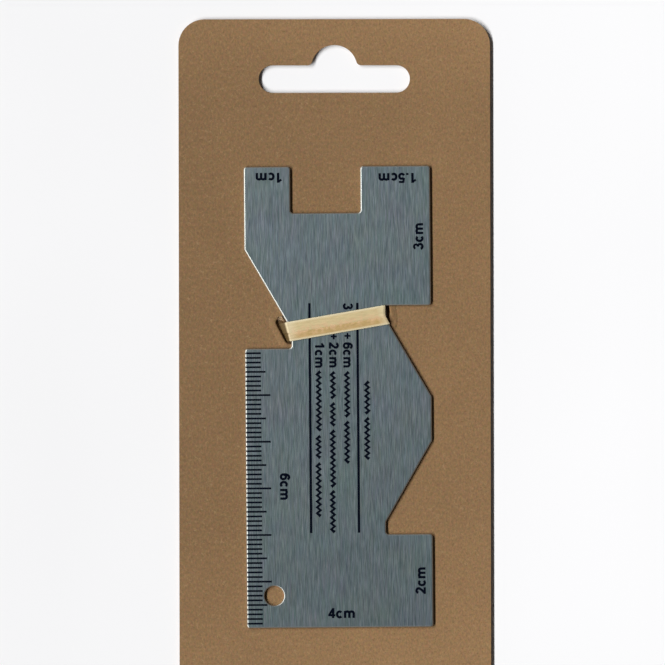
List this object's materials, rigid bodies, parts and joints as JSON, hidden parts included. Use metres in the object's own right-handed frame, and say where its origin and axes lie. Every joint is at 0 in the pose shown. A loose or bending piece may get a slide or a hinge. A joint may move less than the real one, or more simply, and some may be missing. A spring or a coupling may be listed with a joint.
{
  "type": "sewing gauge",
  "caption": "Flat stamped metal sewing gauge with measured sides, notches and a millimetre rule, held on a kraft hang card by a rubber band threaded through slits.",
  "frame": {"origin": "bottom middle of the bounding box: the middle of the card in X and Y, on the surface that the card lies on, where the back run of the rubber band touches down", "axes": "+Z out of the card's printed face and the gauge's face, +Y along the card towards its hang slot, +X to the right as one looks at the face with the hang slot up"},
  "size_m": [0.0668, 0.15, 0.0022],
  "materials": {
    "kraft_board": "brown kraft board with fine fibres, uncoated",
    "brushed_plate": "finely brushed along its length, edges softened and bright",
    "printing_ink": "dark blue-black printing ink",
    "latex": "pale tan natural rubber, slightly glossy"
  },
  "bodies": {
    "card": {"hang_card": "kraft_board", "rubber_band": "latex"},
    "gauge": {"gauge_plate": "brushed_plate", "rule_marks": "printing_ink", "guide_lines": "printing_ink"}
  },
  "joints": [
    {"name": "gauge_lift", "type": "slide", "parent": "card", "child": "gauge", "axis": [0, 0, 1], "range_m": [0, 0.012], "stiffness_N_per_m": 300, "springref_m": -0.0025, "deforming": ["rubber_band"]}
  ]
}
